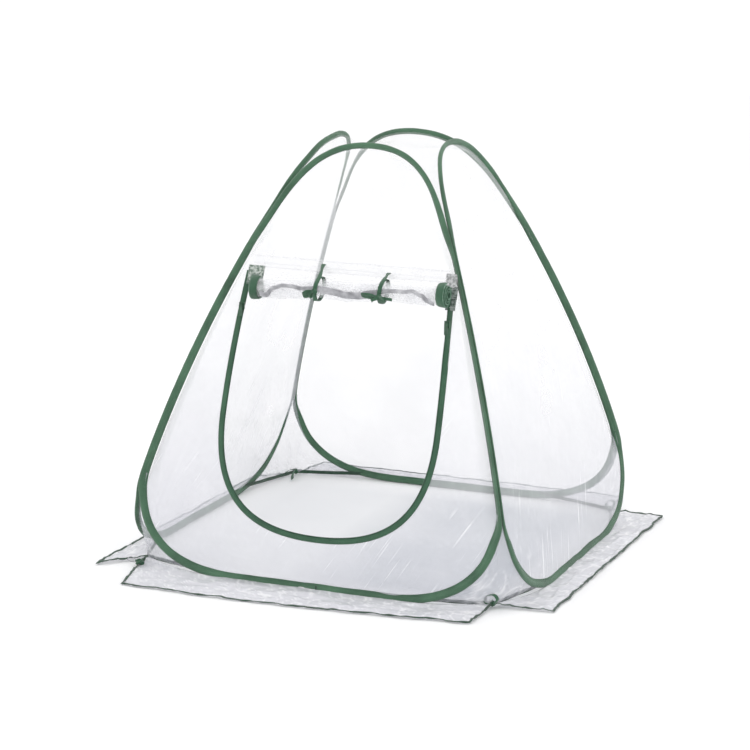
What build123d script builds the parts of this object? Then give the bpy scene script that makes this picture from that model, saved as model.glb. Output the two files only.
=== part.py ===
from build123d import *
from math import radians, tan
import os

# Mini pop-up greenhouse: four sprung hoops in fabric sleeves, one per face, sewn together at the
# corners; clear film walls, corner gussets and a top cap; a door that zips round a U and rolls up
# under two ribbon ties; and a film skirt on the ground along each side.
# Millimetres, +Z up.  Origin: centre of the base, on the ground.  The door faces -Y.
# Each face is bent one way only, so the front face's surface is y = -corner_half(z) for every x.
# The front face is drawn once; right, back and left are the same face turned about Z.

# ---- driving dimensions ---------------------------------------------------------------------
base_half = 350.0           # corner line's distance from the centre planes at the ground
top_half = 102.4            # the same at hoop_top
corner_bulge = 29.9         # how far the corner line bows out of straight at half height
hoop_top = 697.0            # height of a hoop's centreline at its top
bottom_run_half = 134.0     # the straight part of a hoop's bottom
seam_low = 158.0            # neighbouring hoops are sewn together between these heights
seam_high = 508.0
seam_inset = 7.4            # a hoop's centreline stays this far inside the corner line

wire_r = 1.75               # sprung steel hoop
ferrule_bore_r = 2.4
ferrule_r = 3.3
ferrule_length = 36.0
sleeve_r = 5.0
sleeve_bore_r = 4.2
ground_gap = 0.4            # between a sleeve's underside and the ground
runs_per_half = 24          # straight runs in half a hoop

film = 0.6
door_centre = 6.0           # the door is sewn in slightly off the middle of the face
door_half_width = 188.0
door_half_width_top = 178.0
door_bottom = 84.0
door_widest = 265.0         # height where the door is widest
door_top = 488.0
zip_half_width = 5.0

roll_r = 19.0
roll_bore_r = 5.0
roll_half_length = 156.5
roll_height = 476.0
roll_centre = 17.5          # the roll sits a little to the right of the door
roll_standoff = 5.5         # between the wall and the back of the widest coil
coil_r = 21.0
coil_width = 13.0
tie_centre = 29.0
tie_spacing = 56.0          # each ribbon tie's distance from tie_centre
tie_width = 8.0
hinge_height = 496.0        # the roll hangs from a seam at this height

slider_height = 436.0
pull_length = 20.0

skirt_hinge = 357.0         # each skirt folds up about a line this far from the centre
skirt_half_inner = 303.0
skirt_half_outer = 292.0
skirt_reach = {"front": 70.0, "right": 44.0, "back": 70.0, "left": 44.0}
binding = 6.0

ground_corner = 310.0       # the gussets' corners on the ground
hem_base = 1.2
hem_height = 8.0
hem_thickness = 1.6
loop_half_width = 11.0
loop_height = 17.0
ribbon = 6.0
ribbon_thickness = 1.2
cap_centre_height = 684.0
cap_rim_height = 560.0      # the cap's corners reach down between the hoops to this height

sides = ["front", "right", "back", "left"]
corners = ["front_right", "back_right", "back_left", "front_left"]
clear = 0.3
os.makedirs("parts", exist_ok=True)


def save(piece, name):
    """Label a finished piece and write it as its own file."""
    piece.label = name
    export_step(piece, f"parts/{name}.step")


def turned(piece, quarter):
    """A copy of a front piece turned to another face."""
    with BuildPart() as copy:
        add(piece, rotation=(0, 0, 90 * quarter))
    return copy.part


# ---- the bent face --------------------------------------------------------------------------
def corner_half(z):
    """Half width of the tent between its corner lines at height z."""
    t = z / hoop_top
    return base_half + (top_half - base_half) * t + 4 * corner_bulge * t * (1 - t)


def corner_slope(z):
    """How fast corner_half changes with height."""
    return (top_half - base_half + 4 * corner_bulge * (1 - 2 * z / hoop_top)) / hoop_top


def on_face(x, z):
    """Point of the front face at (x, z)."""
    return Vector(x, -corner_half(z), z)


def face_layer(region, inner, outer, low=0.5, high=hoop_top + 8.0):
    """The part of a region of the front face between two distances out of its surface."""
    middle = (low + high) / 2
    waist = -corner_half(low) - corner_slope(low) * (middle - low)
    with BuildPart() as layer:
        with BuildSketch(Plane.YZ):
            with BuildLine():
                ends = []
                for out in (inner, outer):
                    bottom = (-corner_half(low) - out, low)
                    top = (-corner_half(high) - out, high)
                    Bezier(bottom, (waist - out, middle), top)
                    ends.append((bottom, top))
                Line(ends[0][0], ends[1][0])
                Line(ends[0][1], ends[1][1])
            make_face()
        extrude(amount=base_half, both=True)
        extrude(region, amount=2 * base_half, mode=Mode.INTERSECT)
    return layer.part


# ---- hoops: wire, crimped ferrule and fabric sleeve --------------------------------------------
bottom_z = sleeve_r + ground_gap
bend_start = bottom_run_half + 12


def seam_x(z):
    """A hoop's centreline beside the seam."""
    return corner_half(z) - seam_inset


with BuildLine() as half_outline:
    seam_start = (seam_x(seam_low), seam_low)
    seam_end = (seam_x(seam_high), seam_high)
    seam_middle = (seam_low + seam_high) / 2
    Line((0, bottom_z), (bottom_run_half, bottom_z))
    Bezier(
        (bottom_run_half, bottom_z),
        (bottom_run_half + 158, bottom_z),
        (seam_x(seam_low) - 56 * corner_slope(seam_low), seam_low - 56),
        seam_start,
    )
    Bezier(
        seam_start,
        (seam_x(seam_low) + corner_slope(seam_low) * (seam_middle - seam_low), seam_middle),
        seam_end,
    )
    Bezier(
        seam_end,
        (seam_x(seam_high) + 112 * corner_slope(seam_high), seam_high + 112),
        (104, hoop_top),
        (0, hoop_top),
    )

half_wire = half_outline.wire()


def outline_point(fraction, away=0.0):
    """Point (x, z) of the hoop's right half, from its bottom (0) to its top (1), moved outward."""
    point = half_wire.position_at(fraction)
    along = half_wire.tangent_at(fraction)
    return point.X + away * along.Y, point.Y - away * along.X


def hoop_points():
    """A hoop's corners on the front face, anticlockwise, with none inside its bottom run."""
    row = [outline_point(i / runs_per_half) for i in range(runs_per_half + 1)]
    half = [(bottom_run_half, bottom_z)] + [(x, z) for x, z in row if x > bend_start or z > 50]
    other = [(-x, z) for x, z in reversed(half) if x > 1]
    return [on_face(x, z) for x, z in half + other]


def arc_radii(points):
    """For a closed row of points, the largest arcs that fit their runs."""
    radii = []
    for before, here, after in zip(points[-1:] + points[:-1], points, points[1:] + points[:1]):
        turn = radians((here - before).get_angle(after - here))
        shorter = min((here - before).length, (after - here).length)
        radii.append(0.45 * shorter / tan(turn / 2))
    return radii


def hoop_region(away):
    """Sketch of the area inside a hoop, its edge moved outward."""
    with BuildSketch(Plane.XZ) as region:
        with BuildLine():
            half = [outline_point(i / 40, away) for i in range(41)]
            Spline([(x, z) for x, z in half], tangents=[(1, 0), (-1, 0)])
            Spline([(-x, z) for x, z in half], tangents=[(-1, 0), (1, 0)])
        make_face()
    return region.sketch


path_points = hoop_points()
path_radii = arc_radii(path_points)
with BuildLine() as hoop_path:
    FilletPolyline(*path_points, radius=path_radii, close=True)
path_wire = hoop_path.wire()
path_start = Plane(origin=path_wire @ 0, z_dir=path_wire % 0)

with BuildPart() as hoop_wire:
    with BuildSketch(path_start):
        Circle(wire_r)
    sweep(path=path_wire)

with BuildPart() as hoop_sleeve:
    with BuildSketch(path_start):
        Circle(sleeve_r)
        Circle(sleeve_bore_r, mode=Mode.SUBTRACT)
    sweep(path=path_wire)

with BuildPart() as ferrule:
    with BuildSketch(Plane(origin=on_face(0, bottom_z), z_dir=(1, 0, 0))):
        Circle(ferrule_r)
        Circle(ferrule_bore_r, mode=Mode.SUBTRACT)
    extrude(amount=ferrule_length / 2, both=True)

for quarter, side in enumerate(sides):
    save(turned(hoop_wire.part, quarter), f"{side}_hoop_wire")
    save(turned(hoop_sleeve.part, quarter), f"{side}_hoop_sleeve")
    save(turned(ferrule.part, quarter), f"{side}_hoop_ferrule")


# ---- walls and door -------------------------------------------------------------------------
def door_region(grow=0.0, top=door_top):
    """Sketch of the U-shaped door, grown outward by a margin."""
    wide = door_half_width + grow
    narrow = door_half_width_top + grow
    low = door_bottom - grow
    with BuildSketch(Plane.XZ) as region:
        with BuildLine():
            for sign in (1, -1):
                Bezier(
                    (door_centre, low),
                    (door_centre + sign * 118, low),
                    (door_centre + sign * wide, 130 - grow),
                    (door_centre + sign * wide, door_widest),
                )
                Bezier(
                    (door_centre + sign * wide, door_widest),
                    (door_centre + sign * wide, door_widest + 90),
                    (door_centre + sign * narrow, top),
                )
            Line((door_centre - narrow, top), (door_centre + narrow, top))
        make_face()
    return region.sketch


def ring_region(outer, inner, top):
    """U-shaped band between two margins round the door."""
    with BuildSketch(Plane.XZ) as band:
        add(door_region(outer, top))
        add(door_region(inner, top), mode=Mode.SUBTRACT)
    return band.sketch


wall_region = hoop_region(-(sleeve_r + 4))
plain_wall = face_layer(wall_region, -film / 2, film / 2)
with BuildSketch(Plane.XZ) as door_wall_region:
    add(wall_region)
    add(door_region(zip_half_width + clear), mode=Mode.SUBTRACT)
save(face_layer(door_wall_region.sketch, -film / 2, film / 2), "front_wall_film")
for quarter in (1, 2, 3):
    save(turned(plain_wall, quarter), f"{sides[quarter]}_wall_film")

zip_top = hinge_height - 10
save(face_layer(ring_region(zip_half_width, -1.8, zip_top), -0.5, 0.5), "zip_tape")
save(face_layer(ring_region(-2.1, -zip_half_width, zip_top), -0.9, 0.9), "zip_teeth")

with BuildSketch(Plane.XZ) as seam_band_region:
    with Locations((door_centre, hinge_height + 10)):
        Rectangle(2 * door_half_width_top - 20, 16)
seam_band = face_layer(seam_band_region.sketch, film / 2 + clear, film / 2 + clear + 1.2)
save(seam_band, "door_seam_band")

for name, sign in (("left", -1), ("right", 1)):
    with BuildSketch(Plane.XZ) as patch_region:
        with Locations((door_centre + sign * (door_half_width_top + 1), slider_height + 22)):
            Rectangle(14, 16)
    save(face_layer(patch_region.sketch, 1.2, 2.2), f"zip_end_patch_{name}")

roll_y = -corner_half(roll_height) - coil_r - roll_standoff
with BuildPart() as roll:
    with BuildSketch(Plane(origin=(roll_centre, roll_y, roll_height), z_dir=(1, 0, 0))):
        Circle(roll_r)
        Circle(roll_bore_r, mode=Mode.SUBTRACT)
    extrude(amount=roll_half_length, both=True)
save(roll.part, "door_roll_film")

for name, sign in (("left", -1), ("right", 1)):
    coil_x = roll_centre + sign * (roll_half_length + clear)
    with BuildPart() as coil:
        with BuildSketch(Plane(origin=(coil_x, roll_y, roll_height), z_dir=(sign, 0, 0))):
            Circle(coil_r)
            Circle(roll_bore_r, mode=Mode.SUBTRACT)
        extrude(amount=coil_width)
    save(coil.part, f"zip_coil_{name}")

bow_radius = 7.0
for name, sign in (("left", -1), ("right", 1)):
    tie_x = tie_centre + sign * tie_spacing
    inner_r = roll_r + 0.5
    outer_r = inner_r + ribbon_thickness
    knot_y = roll_y - outer_r - 1.5
    with BuildPart() as tie:
        with BuildSketch(Plane(origin=(tie_x, roll_y, roll_height), z_dir=(1, 0, 0))):
            Circle(outer_r)
            Circle(inner_r, mode=Mode.SUBTRACT)
        extrude(amount=tie_width / 2, both=True)
        with Locations((tie_x, knot_y, roll_height)):
            Box(7, 4, 7)
        with BuildSketch(Plane(origin=(tie_x, knot_y - 1.5, roll_height), z_dir=(0, -1, 0))):
            with Locations((-9, 2), (9, 2)):
                Ellipse(bow_radius, 4)
            with Locations((-9, 2), (9, 2)):
                Ellipse(bow_radius - 1.5, 2.5, mode=Mode.SUBTRACT)
            with Locations((-5, -9), (5, -9)):
                Rectangle(4, 14)
            Rectangle(10, 5)
        extrude(amount=1.2, both=True)
    save(tie.part, f"door_tie_{name}")

for name, sign in (("left", -1), ("right", 1)):
    slider_x = door_centre + sign * (door_half_width_top + 2.2)
    face_y = -corner_half(slider_height)
    with BuildPart() as slider:
        with Locations((slider_x, face_y - 5.2, slider_height)):
            Box(9, 3, 11)
        with Locations((slider_x, face_y - 7.7, slider_height + 3)):
            Box(4, 3, 4)
        with Locations(Location((slider_x, face_y - 7.8, slider_height + 3), (0, 90, 0))):
            Cylinder(0.8, 4, mode=Mode.SUBTRACT)
    save(slider.part, f"zip_slider_{name}")
    with BuildPart() as pull:
        with Locations((slider_x, face_y - 10.8, slider_height + 3 - pull_length / 2)):
            Box(6, 1.0, pull_length)
        fillet(pull.edges().filter_by(Axis.Y), 2)
    save(pull.part, f"zip_pull_{name}")


# ---- skirts ---------------------------------------------------------------------------------
for quarter, side in enumerate(sides):
    edge_y = -base_half - skirt_reach[side]
    with BuildSketch() as skirt_outline:
        with BuildLine():
            Polyline(
                (-skirt_half_inner, -skirt_hinge),
                (-skirt_half_outer, edge_y),
                (skirt_half_outer, edge_y),
                (skirt_half_inner, -skirt_hinge),
                close=True,
            )
        make_face()
    with BuildSketch() as inside:
        with BuildLine():
            Polyline(
                (-skirt_half_inner + binding, -skirt_hinge + 1),
                (-skirt_half_outer + binding, edge_y + binding),
                (skirt_half_outer - binding, edge_y + binding),
                (skirt_half_inner - binding, -skirt_hinge + 1),
                close=True,
            )
        make_face()
    with BuildPart() as skirt:
        with BuildSketch():
            add(skirt_outline.sketch)
            add(inside.sketch, mode=Mode.INTERSECT)
        extrude(amount=film)
    with BuildPart() as skirt_edge:
        with BuildSketch():
            add(skirt_outline.sketch)
            add(inside.sketch, mode=Mode.SUBTRACT)
        extrude(amount=2 * film)
    save(turned(skirt.part, quarter), f"{side}_skirt_film")
    save(turned(skirt_edge.part, quarter), f"{side}_skirt_binding")


# ---- corner gussets, hems and peg loops --------------------------------------------------------
def film_fan(tip, rim, lift):
    """Film stretched from a tip to a row of rim points, thickened along one direction."""
    with BuildPart() as sheet:
        for near, far in zip(rim, rim[1:]):
            triangle = Face(Wire.make_polygon([tip, near, far], close=True))
            extrude(triangle, amount=film, dir=lift)
    return sheet.part


def rim_points(low, high, away):
    """Points beside a hoop's right half between two heights, on the front face."""
    row = [outline_point(i / 96, away) for i in range(97)]
    return [on_face(x, z) for x, z in row[::3] if low < z < high]


def across_corner(point):
    """Mirror a front-face point in the upright plane through the front right corner."""
    return Vector(-point.Y, -point.X, point.Z)


gusset_rim = rim_points(hem_base + hem_height + 1.5, seam_low - 12, sleeve_r + 1.0)
other_rim = [across_corner(point) for point in gusset_rim[::-1]]
gusset_tip = Vector(ground_corner, -ground_corner, hem_base + hem_height + 0.8)
gusset = film_fan(gusset_tip, gusset_rim + other_rim, (1, -1, 0))

hem_end = gusset_rim[0]
with BuildPart() as hem:
    with BuildSketch(Plane.XY.offset(hem_base)):
        with BuildLine() as hem_line:
            Polyline(
                (hem_end.X, hem_end.Y + 2),
                (ground_corner, -ground_corner),
                (-hem_end.Y - 2, -hem_end.X),
            )
        trace(line_width=hem_thickness)
    extrude(amount=hem_height - 1)

loop_place = Vector(ground_corner + 6, -ground_corner - 6, hem_base + loop_height / 2)
with BuildPart() as peg_loop:
    with BuildSketch(Plane(origin=loop_place, x_dir=(1, 0, 0), z_dir=(0, -1, 0))):
        Ellipse(loop_half_width, loop_height / 2)
        Ellipse(
            loop_half_width - ribbon_thickness,
            loop_height / 2 - ribbon_thickness,
            mode=Mode.SUBTRACT,
        )
    extrude(amount=ribbon)

for quarter, corner in enumerate(corners):
    save(turned(gusset, quarter), f"{corner}_gusset_film")
    save(turned(hem.part, quarter), f"{corner}_gusset_hem")
    save(turned(peg_loop.part, quarter), f"{corner}_peg_loop")


# ---- top cap --------------------------------------------------------------------------------
half_rim = [point + Vector(0, 8, 3) for point in rim_points(cap_rim_height, 2 * hoop_top, 0)]
front_rim = half_rim[::-1]
front_rim = [Vector(-point.X, point.Y, point.Z) for point in half_rim[:-1]] + front_rim
cap_rim = []
for quarter in range(4):
    cap_rim += [point.rotate(Axis.Z, 90 * quarter) for point in front_rim]
cap = film_fan(Vector(0, 0, cap_centre_height), cap_rim + cap_rim[:1], (0, 0, 1))
save(cap, "top_cap_film")
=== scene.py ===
from math import atan2, cos, pi, radians, sin

import bpy
from mathutils import Matrix, Vector, noise


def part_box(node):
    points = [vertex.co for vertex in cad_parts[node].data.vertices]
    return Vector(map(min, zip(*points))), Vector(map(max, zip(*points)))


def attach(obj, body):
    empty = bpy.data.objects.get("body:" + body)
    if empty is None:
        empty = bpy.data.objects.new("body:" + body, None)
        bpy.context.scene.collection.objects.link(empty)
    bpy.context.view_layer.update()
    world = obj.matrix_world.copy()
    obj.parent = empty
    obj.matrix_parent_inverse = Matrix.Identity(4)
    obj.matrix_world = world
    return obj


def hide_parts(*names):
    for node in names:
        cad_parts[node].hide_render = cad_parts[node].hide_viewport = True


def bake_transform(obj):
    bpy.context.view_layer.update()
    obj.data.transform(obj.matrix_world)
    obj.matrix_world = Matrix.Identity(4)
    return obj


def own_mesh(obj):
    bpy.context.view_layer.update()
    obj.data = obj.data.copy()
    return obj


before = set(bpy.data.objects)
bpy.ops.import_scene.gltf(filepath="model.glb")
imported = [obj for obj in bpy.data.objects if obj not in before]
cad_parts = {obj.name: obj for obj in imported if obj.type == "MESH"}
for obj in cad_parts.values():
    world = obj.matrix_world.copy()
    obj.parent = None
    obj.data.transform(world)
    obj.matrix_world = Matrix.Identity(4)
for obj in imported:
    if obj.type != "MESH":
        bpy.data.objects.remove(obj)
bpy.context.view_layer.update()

scene = bpy.context.scene

# Mini pop-up greenhouse.  Metres, +Z up, the door faces -Y.
# Each face is bent one way only: the front face is y = -corner_half(z) for every x.

# ---- driving dimensions, as in the CAD ----
base_half = 0.350
top_half = 0.1024
corner_bulge = 0.0299
hoop_top = 0.697
hoop_bottom = 0.0054
bottom_run_half = 0.134
seam_low = 0.158
seam_high = 0.508
seam_inset = 0.0074
door_centre = 0.006
door_bottom = 0.084
door_widest = 0.265
door_half_width = 0.188
door_half_width_top = 0.178
hinge_height = 0.496
ground = 0.0006

sides = ["front", "right", "back", "left"]
up = Vector((0, 0, 1))


def corner_half(z):
    """Half width of the tent between its corner lines at height z."""
    t = z / hoop_top
    return base_half + (top_half - base_half) * t + 4 * corner_bulge * t * (1 - t)


def corner_slope(z):
    """How fast corner_half changes with height."""
    return (top_half - base_half + 4 * corner_bulge * (1 - 2 * z / hoop_top)) / hoop_top


def face_normal(z):
    """Outward normal of the front face at height z."""
    return Vector((0, -1, -corner_slope(z))).normalized()


def on_face(x, z, out=0.0):
    """Point of the front face at (x, z), moved outward."""
    return Vector((x, -corner_half(z), z)) + face_normal(z) * out


def quarter(k):
    """Turn from the front face to face k."""
    return Matrix.Rotation(k * pi / 2, 4, "Z")


def smooth(t):
    t = min(max(t, 0.0), 1.0)
    return t * t * (3 - 2 * t)


def bezier(ends, t):
    """Point on a Bezier curve given by its control points."""
    points = [Vector(p) for p in ends]
    while len(points) > 1:
        points = [a.lerp(b, t) for a, b in zip(points, points[1:])]
    return points[0]


def even(points, count):
    """The same line as count + 1 points at equal distances."""
    lengths = [0.0]
    for a, b in zip(points, points[1:]):
        lengths.append(lengths[-1] + (b - a).length)
    row = []
    k = 0
    for i in range(count + 1):
        at = lengths[-1] * i / count
        while k < len(points) - 2 and lengths[k + 1] < at:
            k += 1
        share = (at - lengths[k]) / max(lengths[k + 1] - lengths[k], 1e-9)
        row.append(points[k].lerp(points[k + 1], share))
    return row


def spaced(line, count):
    """Points at equal distances along a line, each with the line's direction there."""
    row = even(line, count)
    return [(a, (b - a).normalized()) for a, b in zip(row, row[1:])]


def headings(points, closed=False, reach=1):
    """A line's direction at each of its points, from the points on either side."""
    count = len(points)
    made = []
    for i in range(count):
        if closed:
            ahead, behind = (i + reach) % count, i - reach
        else:
            ahead, behind = min(i + reach, count - 1), max(i - reach, 0)
        made.append((points[ahead] - points[behind]).normalized())
    return made


def lattice(rows, cells, point):
    """Rows of points: point(s, t) with s along a row and t across the rows, both from 0 to 1."""
    return [[point(i / cells, j / rows) for i in range(cells + 1)] for j in range(rows + 1)]


def wobble(p, size, seed=0.0):
    """Smooth noise from -1 to 1 with features of a given size."""
    return noise.noise(Vector(p) / size + Vector((seed, 2.3 * seed, 0.7 * seed)))


def ridge(p, size, seed=0.0):
    """Crease pattern: 1 along sharp lines, 0 between them."""
    return max(0.0, 1 - 5 * abs(wobble(p, size, seed))) ** 2


# ---- meshes ----
def new_mesh(name, verts, faces, uvs=None, smooth_faces=True, crease=None):
    """Object from points and faces, with an optional UV point for each vertex."""
    mesh = bpy.data.meshes.new(name)
    mesh.from_pydata([tuple(v) for v in verts], [], faces)
    mesh.validate()
    if uvs:
        layer = mesh.uv_layers.new(name="UVMap")
        for loop in mesh.loops:
            layer.data[loop.index].uv = uvs[loop.vertex_index]
    if crease:
        values = mesh.attributes.new("crease", "FLOAT", "POINT")
        values.data.foreach_set("value", crease)
    for polygon in mesh.polygons:
        polygon.use_smooth = smooth_faces
    obj = bpy.data.objects.new(name, mesh)
    scene.collection.objects.link(obj)
    return obj


def finish_piece(obj, material, body, nodes=(), turn=0):
    """Give a piece its material, place and body, and hide the CAD nodes it replaces."""
    obj.data.materials.append(material)
    if turn:
        obj.data.transform(quarter(turn))
    if body:
        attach(obj, body)
    if nodes:
        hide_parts(*nodes)
    return obj


def swept(name, points, across, sections, closed=False):
    """A section of (across, out) points carried along a line; it can differ from point to point."""
    count = len(points)
    if not isinstance(sections[0], list):
        sections = [sections] * count
    ring = len(sections[0])
    verts, uvs, faces = [], [], []
    along = 0.0
    for i, (point, heading) in enumerate(zip(points, headings(points, closed))):
        side = across[i].normalized()
        out = side.cross(heading).normalized()
        if i:
            along += (point - points[i - 1]).length
        for u, v in sections[i]:
            verts.append(point + side * u + out * v)
            uvs.append((along, u + (0.5 if v < 0 else 0.0)))
    rows = count if closed else count - 1
    for i in range(rows):
        a, b = i * ring, ((i + 1) % count) * ring
        for j in range(ring):
            k = (j + 1) % ring
            faces.append((a + j, b + j, b + k, a + k))
    if not closed:
        faces.append(tuple(range(ring)))
        faces.append(tuple(reversed(range((count - 1) * ring, count * ring))))
    return new_mesh(name, verts, faces, uvs)


def tape(width, thick, crown=0.0):
    """Flat rounded section of a ribbon or tape."""
    half, t = width / 2, thick / 2
    upper = [(half, 0.4 * t), (0.7 * half, t), (0, t + crown), (-0.7 * half, t), (-half, 0.4 * t)]
    return upper + [(u, -v + 2 * crown * (abs(u) < 1e-9)) for u, v in reversed(upper)]


def grid(name, rows, closed=False, crumple=None, edge=0.0):
    """A sheet through rows of points.

    crumple(point) gives how far to move it along the normal, and how creased it is there.
    Within edge cells of the rim the sheet stays where it is.
    """
    across = len(rows[0])
    verts = [p.copy() for row in rows for p in row]
    faces = []
    for i in range(len(rows) - 1):
        for j in range(across if closed else across - 1):
            k = (j + 1) % across
            a, b = i * across, (i + 1) * across
            faces.append((a + j, a + k, b + k, b + j))
    crease = [0.0] * len(verts)
    if crumple:
        downward = [headings(column) for column in zip(*rows)]
        for i, row in enumerate(rows):
            for j, (p, sideways) in enumerate(zip(row, headings(row, closed))):
                normal = sideways.cross(downward[j][i])
                if normal.length < 1e-9:
                    continue
                ends = [i, len(rows) - 1 - i]
                if not closed:
                    ends += [j, across - 1 - j]
                hold = smooth(min(ends) / edge) if edge else 1.0
                move, mark = crumple(p)
                verts[i * across + j] += normal.normalized() * move * hold
                crease[i * across + j] = mark
    uvs = [(j / 100, i / 100) for i in range(len(rows)) for j in range(across)]
    return new_mesh(name, verts, faces, uvs, crease=crease)


def beads(name, places, size, segments=6):
    """Many small rounded beads in one mesh.  Each place is (centre, long way, out)."""
    verts, faces = [], []
    long_half, wide_half, high = size
    for centre, along, out in places:
        side = along.cross(out).normalized()
        first = len(verts)
        for k, share in ((-1, 0.0), (-0.6, 0.85), (0.6, 0.85), (1, 0.0)):
            if share == 0:
                verts.append(centre + along * long_half * k)
                continue
            for j in range(segments):
                angle = 2 * pi * j / segments
                around = side * cos(angle) * wide_half + out * sin(angle) * high
                verts.append(centre + along * long_half * k + around * share)
        tail = first + 1 + 2 * segments
        for j in range(segments):
            k = (j + 1) % segments
            a, b = first + 1 + j, first + 1 + k
            faces.append((first, b, a))
            faces.append((a, b, b + segments, a + segments))
            faces.append((tail, a + segments, b + segments))
    return new_mesh(name, verts, faces)


def declare(obj, flat):
    """Area of a sheet, held between 0.3 times and the whole of a rectangle of the given size; nothing is
    done with it.
    """
    whole_cut = flat[0] * flat[1]
    area = sum(p.area for p in obj.data.polygons)
    area = min(max(area, 0.3 * whole_cut), whole_cut)


# ---- materials ----
class Shader:
    """A Principled material with short helpers for its nodes."""

    def __init__(self, name, **values):
        self.material = bpy.data.materials.new(name)
        self.material.use_nodes = True
        self.tree = self.material.node_tree
        self.bsdf = self.tree.nodes["Principled BSDF"]
        for key, value in values.items():
            self.bsdf.inputs[key.replace("_", " ")].default_value = value

    def node(self, kind, **inputs):
        made = self.tree.nodes.new("ShaderNode" + kind)
        for key, value in inputs.items():
            if hasattr(made, key):
                setattr(made, key, value)
                continue
            self.feed(made.inputs[key.replace("_", " ")], value)
        return made

    def feed(self, socket, value):
        if isinstance(value, bpy.types.NodeSocket):
            self.tree.links.new(value, socket)
        else:
            socket.default_value = value

    def math(self, operation, *values):
        made = self.tree.nodes.new("ShaderNodeMath")
        made.operation = operation
        for socket, value in zip(made.inputs, values):
            self.feed(socket, value)
        return made.outputs[0]

    def noise(self, scale, detail=3.0, place=None, rough=0.5):
        place = place or self.node("TexCoord").outputs["Object"]
        made = self.node("TexNoise", Vector=place, Scale=scale, Detail=detail, Roughness=rough)
        return made.outputs["Fac"]

    def times(self, first, *others):
        for other in others:
            first = self.math("MULTIPLY", first, other)
        return first

    def spread(self, value, low, high, to_low=0, to_high=1):
        """Map a range of a value onto another, clamped."""
        made = self.node("MapRange")
        for key, number in zip(("From Min", "From Max", "To Min", "To Max"), (low, high, to_low, to_high)):
            made.inputs[key].default_value = number
        self.feed(made.inputs["Value"], value)
        return made.outputs["Result"]

    def blend(self, share, first, second):
        """Mix two colours, each a node's output or red, green and blue."""
        made = self.tree.nodes.new("ShaderNodeMix")
        made.data_type = "RGBA"
        self.feed(made.inputs["Factor"], share)
        for key, tint in (("A", first), ("B", second)):
            self.feed(made.inputs[key], (*tint, 1.0) if isinstance(tint, tuple) else tint)
        return made.outputs["Result"]

    def bump(self, height, distance, strength, under=None):
        made = self.node("Bump", Height=height, Distance=distance, Strength=strength)
        if under:
            self.feed(made.inputs["Normal"], under)
        self.set("Normal", made.outputs["Normal"])
        return made.outputs["Normal"]

    def set(self, key, value):
        self.feed(self.bsdf.inputs[key], value)


def cloth(name, dark, light, thread, twill=False, blotch=22):
    """Woven tape: threads over UVs in metres, blotchy dye, fuzz, and painted shade between the threads with
    painted highlight on their tops.
    """
    s = Shader(name, Roughness=0.78, Sheen_Weight=0.25, Sheen_Roughness=0.5)
    uv = s.node("SeparateXYZ", Vector=s.node("TexCoord").outputs["UV"])
    along, side = [s.times(uv.outputs[axis], 2 * pi / thread) for axis in "XY"]
    if twill:
        side = s.math("ADD", along, side)
    weave = s.spread(s.times(s.math("SINE", along), s.math("SINE", side)), -1, 1)
    sharp = 0.08 if blotch > 100 else 0.2
    dye = s.spread(s.noise(blotch, 3), 0.5 - sharp, 0.5 + sharp)
    fuzz = s.noise(900, 2)
    # Painted shade: the colour darkens between the threads and lightens on their tops, added to the random
    # dye.
    lift = s.times(s.math("ADD", s.times(weave, 0.45), dye), 0.69)
    s.set("Base Color", s.blend(lift, dark, light))
    s.set("Roughness", s.spread(fuzz, 0.3, 0.7, 0.66, 0.9))
    fine = s.bump(weave, 0.0004, 0.7)
    s.bump(fuzz, 0.0003, 0.35, under=fine)
    return s.material


def clear_film(name, alpha, low_tint, high_tint, streak, wrinkle, lean=None, thin_way=(1, 1)):
    """Clear soft PVC: a pale haze, grayer near the ground, and near-white creases and long slanting
    streaks, partly milky film and partly painted highlight.
    """
    s = Shader(name, Roughness=0.16, IOR=1.45)
    place = s.node("TexCoord").outputs["Object"]
    height = s.node("SeparateXYZ", Vector=place).outputs["Z"]
    climb = s.spread(height, 0.02, 0.50)
    cloud = s.spread(s.noise(6, 4, place), 0.3, 0.7, 0.80, 1.2)
    crease = s.node("Attribute", attribute_name="crease").outputs["Fac"]
    fine = s.spread(s.noise(55, 5, place, 0.65), 0.58, 0.72)
    marks = s.math("MAXIMUM", crease, s.times(fine, wrinkle))
    if lean:
        slanted = s.node("Mapping", Vector=place, vector_type="TEXTURE")
        slanted.inputs["Rotation"].default_value = lean
        slanted.inputs["Scale"].default_value = (*thin_way, 0.16)
        # The low slanting streaks are painted near-white: part milky film, part painted highlight.
        scuff = s.spread(s.noise(1.0, 1, slanted.outputs[0]), 0.61, 0.72, 0, 0.75)
        few = s.spread(s.noise(8, 2, place), 0.50, 0.58)
        low = s.spread(height, 0.20, 0.32, 1, 0)
        marks = s.math("MAXIMUM", marks, s.times(scuff, few, low))
    thin = s.spread(climb, 0, 1, alpha, 0.62 * alpha)
    s.set("Alpha", s.math("ADD", s.times(cloud, thin), s.times(marks, streak)))
    haze = s.blend(climb, low_tint, high_tint)
    shade = s.spread(s.noise(11 + 50 * wrinkle, 5, place), 0.35, 0.65, 0, 0.25)
    haze = s.blend(shade, haze, (0.56, 0.56, 0.62))
    # Creases and streaks turn near-white: part milky film, part painted highlight.
    s.set("Base Color", s.blend(s.spread(marks, 0.15, 0.9), haze, (0.96, 0.96, 0.98)))
    s.set("Roughness", s.spread(s.noise(30, 3, place), 0.3, 0.7, 0.1, 0.26))
    s.bump(s.noise(9, 3, place, 0.5), 0.004, 0.25 + 0.35 * wrinkle)
    return s.material


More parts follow.
